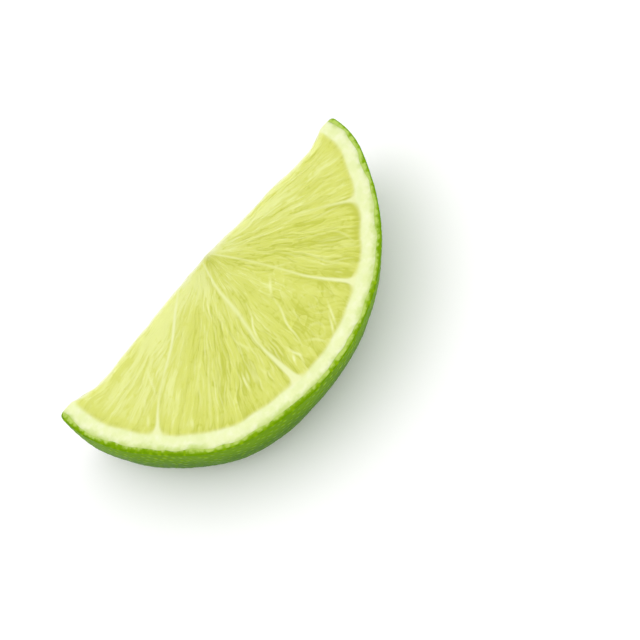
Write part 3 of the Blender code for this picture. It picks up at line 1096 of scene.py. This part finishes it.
def fleshMaterial():
    look = fleshLook
    nodes = Nodes("wetFlesh")
    ray = nodes.vector("ray")
    place = nodes.place()
    fibres = nodes.noise(nodes.stretch(ray, (0.16, 1.5, 1.0)), 1.0, 3.0, 0.55, 0.1)
    strands = nodes.noise(nodes.stretch(ray, (0.30, 3.4, 1.0)), 1.0, 2.0, 0.5, 0.2)
    isFlesh = nodes.shade("flesh")
    pulp = pulpColour(nodes, place, fibres, strands)
    skin = nodes.blend(nodes.shade("white"), pulp, look["membrane"])
    skin = nodes.blend(nodes.shade("pith"), skin, pithColour(nodes, place))
    shader = nodes.shader
    nodes.link(nodes.blend(isFlesh, skin, pulp), shader.inputs["Base Color"])
    rough = nodes.range(isFlesh, 0.0, 1.0, look["pithRoughness"], look["roughness"])
    rough = nodes.total(rough, nodes.vary(fibres, -0.08, 0.10, reach=0.3))
    nodes.link(rough, shader.inputs["Roughness"])
    grain = nodes.noise(place, 2600.0, 3.0, 0.6)
    wet = nodes.times(nodes.total(fibres, strands), isFlesh)
    relief = nodes.total(wet, nodes.times(grain, 0.30))
    nodes.link(nodes.bump(relief, look["grainBump"], 0.6), shader.inputs["Normal"])
    nodes.link(nodes.range(isFlesh, 0.0, 1.0, 0.25, 1.0), shader.inputs["Subsurface Weight"])
    shader.inputs["Subsurface Radius"].default_value = look["lightSpread"]
    shader.inputs["Subsurface Scale"].default_value = look["lightDepth"]
    shader.inputs["Coat Weight"].default_value = look["coat"]
    shader.inputs["Coat Roughness"].default_value = look["coatRoughness"]
    shader.inputs["IOR"].default_value = look["refraction"]
    return nodes.material


# The rind: the green outer skin with its oil glands, and the thin zest on the cuts
rind = {
    "columns": 560,
    "rows": 78,
    "innerRows": 27,
    "bandSteps": 6,         # across the zest on the front and the back
    "cornerSteps": 4,
    "cornerRadius": 0.20,
    "endRounding": 0.50,
    "glandSpacing": 1.12,
    "glandRowShare": 0.87,  # rows of glands are closer together than the glands in a row
    "glandStray": 0.17,
    "glandRadius": 0.29,
    "glandRange": (0.45, 1.30),
    "glandRise": 0.030,
    "cutGlandRise": 0.03,
    "cutDrop": 0.10,        # the zest falls off towards the skin by this much
    "setBack": 0.02,        # keeps the swellings inside the solid's outline
    "unevenness": 0.016,
    "seed": 21,
}


def glandField(along, down):
    # 0 between the oil glands, 1 at their middles
    draw = np.random.default_rng(rind["seed"])
    step = rind["glandSpacing"]
    rowStep = rind["glandRowShare"] * step
    margin = 2.0
    seeds = []
    length = halfTurn * cut["faceRadius"] + 2.0 * margin
    for row in range(int((thickness + 2.0 * margin) / rowStep) + 1):
        for k in range(int(length / step)):
            spotAlong = (k + 0.5 * (row % 2)) * step - margin + draw.normal(0.0, rind["glandStray"])
            spotDown = row * rowStep - margin + draw.normal(0.0, rind["glandStray"])
            seeds.append((spotAlong, spotDown, rind["glandRadius"] * draw.uniform(*rind["glandRange"])))
    seeds = np.array(seeds)
    shape = np.shape(along)
    along, down = np.ravel(along), np.ravel(down)
    found = np.zeros(len(along))
    for part in partByPart(len(along)):
        away = np.hypot(along[part, None] - seeds[None, :, 0], down[part, None] - seeds[None, :, 1])
        found[part] = np.max(1.0 - smooth(away / (1.5 * seeds[None, :, 2])), axis=1)
    return found.reshape(shape)


def rindSection():
    # once round the rind's cross-section: inset from the outside, what it is part of, and depth
    corner, bandSteps, cornerSteps = rind["cornerRadius"], rind["bandSteps"], rind["cornerSteps"]
    band = [mix(1.0, corner, k / bandSteps) for k in range(bandSteps + 1)]
    rounding = []
    for k in range(1, cornerSteps):
        turn = 0.5 * halfTurn * k / cornerSteps
        rounding.append((corner * (1.0 - math.sin(turn)), corner * (1.0 - math.cos(turn))))
    section = [(inset, "front", 0.0) for inset in band]
    section += [(inset, "wall", depth) for inset, depth in rounding]
    for k in range(rind["rows"] + 1):
        section.append((0.0, "wall", mix(corner, thickness - corner, k / rind["rows"])))
    section += [(inset, "wall", thickness - depth) for inset, depth in reversed(rounding)]
    section += [(inset, "back", thickness) for inset in reversed(band)]
    for k in range(1, rind["innerRows"]):
        section.append((1.0, "inner", thickness * (1.0 - k / rind["innerRows"])))
    return section


def rindBody():
    shares = np.linspace(0.0, 1.0, rind["columns"] + 1)
    section = rindSection()
    points = PointList()
    ids = []
    depths = np.array([spot[2] for spot in section])
    along = halfTurn * shares * cut["faceRadius"]
    glands = glandField(*np.meshgrid(along, depths, indexing="ij"))
    for k, (inset, kind, depth) in enumerate(section):
        # both ends lie in the plane of the straight cut
        first = math.asin(cut["dipAtTip"] / (rindRadius(0.0, depth) - 0.5 * inset))
        last = math.asin(cut["dipAtTip"] / (rindRadius(halfTurn, depth) - 0.5 * inset))
        turns = mix(first, halfTurn - last, shares)
        zest = zestInset(turns, 0.0 if kind == "front" else depth)
        corner = rind["cornerRadius"]
        if kind in ("front", "back"):
            depthInset = mix(corner, zest, (inset - corner) / (1.0 - corner))
        elif kind == "inner":
            depthInset = zest
        else:
            depthInset = np.full(turns.shape, inset)
        insetShare = depthInset / zest
        gland = glands[:, k]
        radius = rindRadius(turns, depth) - depthInset
        fromEnd = np.minimum(along, along[-1] - along) / rind["endRounding"]
        blunt = 1.0 - np.sqrt(1.0 - (1.0 - np.clip(fromEnd, 0.0, 1.0)) ** 2)
        radius = radius - rind["endRounding"] * blunt * (1.0 - np.clip(insetShare, 0.0, 1.0))
        if kind == "wall":
            uneven = ripple(along, np.full(along.shape, depth), 5.0, noiseSeeds["skin"])
            radius = radius + rind["glandRise"] * (gland - 0.5) + rind["unevenness"] * uneven
            radius = radius - rind["setBack"]
        z = np.full(turns.shape, thickness - depth)
        if kind == "front":
            z = z - rind["cutDrop"] * (1.0 - insetShare)
            z = z + rind["cutGlandRise"] * (gland - 0.3) * np.sin(halfTurn * insetShare)
        if kind == "back":
            z = z + flesh["pithRise"] * insetShare
        x, y = radius * np.cos(turns), -radius * np.sin(turns)
        ids.append(points.add(np.stack([x, y, z], -1), {
            "gland": gland,
            "skinDepth": np.clip(insetShare, 0.0, 1.0),
            "paleness": greenShift(turns) / cut["zest"],
            "depth": np.full(turns.shape, depth),
        }))
    faces = gridFaces(ids + [ids[0]])
    # close both ends, where the cut along the core goes through the rind
    bandSteps = rind["bandSteps"]
    inner = [k for k, spot in enumerate(section) if spot[1] == "inner"]
    outer = range(bandSteps, inner[0] - bandSteps)
    frontBand = list(range(bandSteps, -1, -1))
    backBand = list(range(inner[0] - 1, inner[0] - bandSteps - 2, -1))
    inside = frontBand + inner[::-1] + backBand
    for column in (0, -1):
        faces += stitch([ids[k][column] for k in outer], [ids[k][column] for k in inside])
    return makeMesh("rind", points.allPoints(), faces, points.allShades())


rindLook = {
    "skin": (112, 157, 0),
    # painted shade towards the floor, and the colour of the skin's darker random patches
    "skinShadeAndPatches": (76, 122, 0),
    "gland": (150, 190, 14),
    "cutGreen": (128, 168, 10),
    "cutPale": (190, 216, 104),
    "paintedShadeFrom": 0.3,        # depth behind the shown face where the painted shade on the skin begins
    "paintedShadeTo": 6.5,
    "glandFront": 1.35,     # how clear the gland dots are near the shown face
    "glandFarther": 0.75,
    "roughness": 0.40,
    "shine": 0.02,
    "grainBump": 0.00016,   # in metres, as is the next one
    "lightDepth": 0.0012,
    "lightSpread": (0.6, 1.0, 0.2),
    "lightShare": 0.10,
}


def rindMaterial():
    look = rindLook
    nodes = Nodes("limeRind")
    place = nodes.place()
    patches = nodes.noise(place, 120.0, 3.0, 0.55)
    fine = nodes.noise(place, 1500.0, 3.0, 0.6)
    spots = nodes.noise(place, 700.0, 2.0, 0.5)
    skinDepth = nodes.shade("skinDepth")
    dots = nodes.shade("gland")

    # the outer skin, with painted shade that darkens it away from the shown face towards the floor, and
    # darker patches at random
    paintedShade = nodes.range(nodes.shade("depth"), look["paintedShadeFrom"], look["paintedShadeTo"], 0.0, 1.15)
    skin = nodes.blend(nodes.total(paintedShade, nodes.vary(patches, -0.2, 0.2)), look["skin"], look["skinShadeAndPatches"])
    gland = nodes.times(nodes.range(dots, 0.0, 1.0), nodes.vary(patches, 0.22, 0.66, reach=0.15))
    clearer = nodes.range(nodes.shade("depth"), 0.0, 3.0, look["glandFront"], look["glandFarther"])
    gland = nodes.times(gland, clearer)
    skin = nodes.blend(gland, skin, look["gland"])

    # the zest where it is cut, paler towards the pith
    depth = nodes.total(skinDepth, nodes.vary(fine, -0.22, 0.22, reach=0.25), nodes.vary(spots, -0.22, 0.18))
    depth = nodes.total(depth, nodes.times(dots, -0.30), nodes.shade("paleness"))
    section = nodes.blend(nodes.range(depth, 0.00, 0.40), look["skin"], look["cutGreen"])
    section = nodes.blend(nodes.range(depth, 0.35, 1.00), section, look["cutPale"])
    section = nodes.blend(nodes.times(gland, 0.55), section, look["gland"])

    shader = nodes.shader
    isCut = nodes.range(skinDepth, 0.12, 0.35)
    nodes.link(nodes.blend(isCut, skin, section), shader.inputs["Base Color"])
    rough = nodes.vary(fine, look["roughness"] - 0.06, look["roughness"] + 0.10, reach=0.3)
    nodes.link(rough, shader.inputs["Roughness"])
    relief = nodes.total(nodes.times(fine, 0.5), nodes.times(dots, 0.5))
    nodes.link(nodes.bump(relief, look["grainBump"], 0.6), shader.inputs["Normal"])
    shader.inputs["Specular IOR Level"].default_value = look["shine"]
    shader.inputs["Subsurface Weight"].default_value = look["lightShare"]
    shader.inputs["Subsurface Radius"].default_value = look["lightSpread"]
    shader.inputs["Subsurface Scale"].default_value = look["lightDepth"]
    return nodes.material


segments = fleshBody()
segments.data.materials.append(fleshMaterial())
print("segments, membranes and pith built")

skinPiece = rindBody()
skinPiece.data.materials.append(rindMaterial())
print("rind built")

for piece, slotName in ((segments, "lime_flesh"), (skinPiece, "lime_rind")):
    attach(piece, "root")
    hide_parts("half_slice")


# Floor and light: a bright, even studio
studio = {
    "floorSize": 3.0,
    "floor": (1.0, 1.0, 1.0),
    "worldTop": 0.93,
    "worldSide": 0.50,      # towards the horizon
    "lamps": {      # place in metres, watts, width
        "keyLamp": ((-0.45, 0.55, 1.00), 2.1, 1.4),
        "fillLamp": ((0.70, -0.40, 0.80), 2.2, 1.4),
    },
}


def addStudio():
    half = studio["floorSize"] / 2.0
    corners = [(-half, -half, 0.0), (half, -half, 0.0), (half, half, 0.0), (-half, half, 0.0)]
    data = bpy.data.meshes.new("floor")
    data.from_pydata(corners, [], [(0, 1, 2, 3)])
    floor = bpy.data.objects.new("floor", data)
    bpy.context.scene.collection.objects.link(floor)
    nodes = Nodes("paleFloor")
    nodes.shader.inputs["Base Color"].default_value = (*studio["floor"], 1.0)
    nodes.shader.inputs["Roughness"].default_value = 0.9
    data.materials.append(nodes.material)

    world = bpy.data.worlds.new("studioLight")
    world.use_nodes = True
    tree = world.node_tree
    background = tree.nodes["Background"]
    background.inputs["Color"].default_value = (1.0, 1.0, 1.0, 1.0)
    direction = tree.nodes.new("ShaderNodeTexCoord").outputs["Generated"]
    split = tree.nodes.new("ShaderNodeSeparateXYZ")
    tree.links.new(direction, split.inputs[0])
    fall = tree.nodes.new("ShaderNodeMapRange")
    fall.inputs["From Max"].default_value = 0.7
    fall.inputs["To Min"].default_value = studio["worldSide"] * lightLevel
    fall.inputs["To Max"].default_value = studio["worldTop"] * lightLevel
    tree.links.new(split.outputs["Z"], fall.inputs["Value"])
    tree.links.new(fall.outputs[0], background.inputs["Strength"])
    bpy.context.scene.world = world

    for name, (place, power, size) in studio["lamps"].items():
        lamp = bpy.data.lights.new(name, "AREA")
        lamp.energy, lamp.size = power * lightLevel, size
        holder = bpy.data.objects.new(name, lamp)
        bpy.context.scene.collection.objects.link(holder)
        holder.location = place
        holder.rotation_mode = "QUATERNION"
        holder.rotation_quaternion = (-Vector(place)).to_track_quat("-Z", "Y")
    bpy.context.scene.view_settings.view_transform = "Standard"


addStudio()
print("studio lit")
